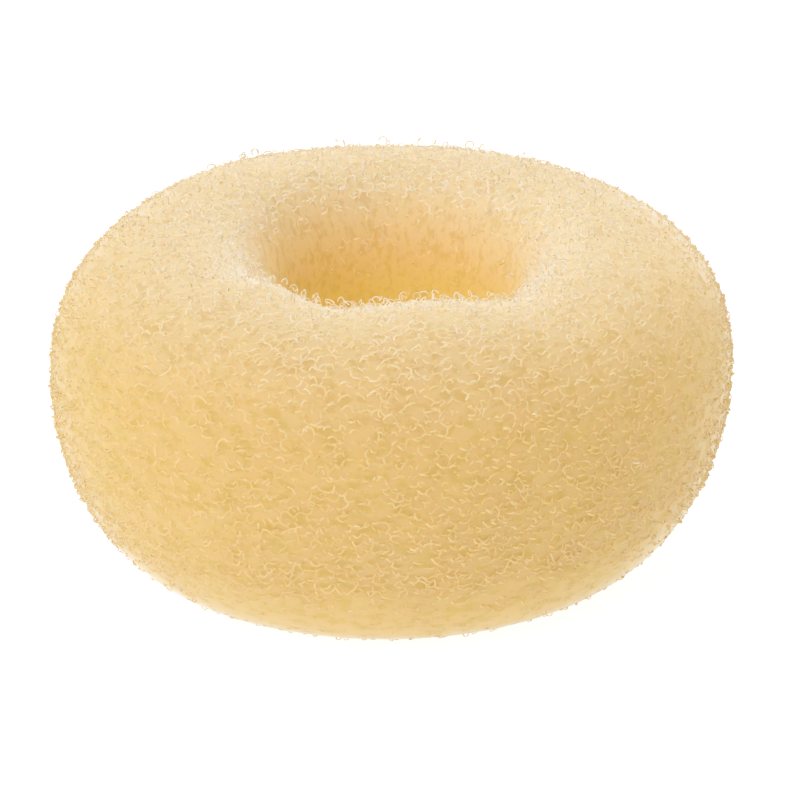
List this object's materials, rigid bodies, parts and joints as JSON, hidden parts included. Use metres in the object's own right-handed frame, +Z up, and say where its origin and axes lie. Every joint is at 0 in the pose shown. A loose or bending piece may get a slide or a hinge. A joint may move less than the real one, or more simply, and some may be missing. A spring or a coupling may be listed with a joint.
{
  "type": "hair donut bun maker",
  "caption": "Soft ring-shaped hair bun former of curly nylon net, laid flat, with an open hole through its middle for a ponytail.",
  "frame": {"origin": "middle of the ring on the surface that it lies on", "axes": "+Z up along the hole's axis, -Y towards the side seen in the picture, +X to the viewer's right"},
  "size_m": [0.0908, 0.0884, 0.0427],
  "materials": {
    "curly_net": "matte curly translucent nylon filament net"
  },
  "bodies": {
    "root": {"bun_ring": "curly_net"}
  },
  "joints": []
}
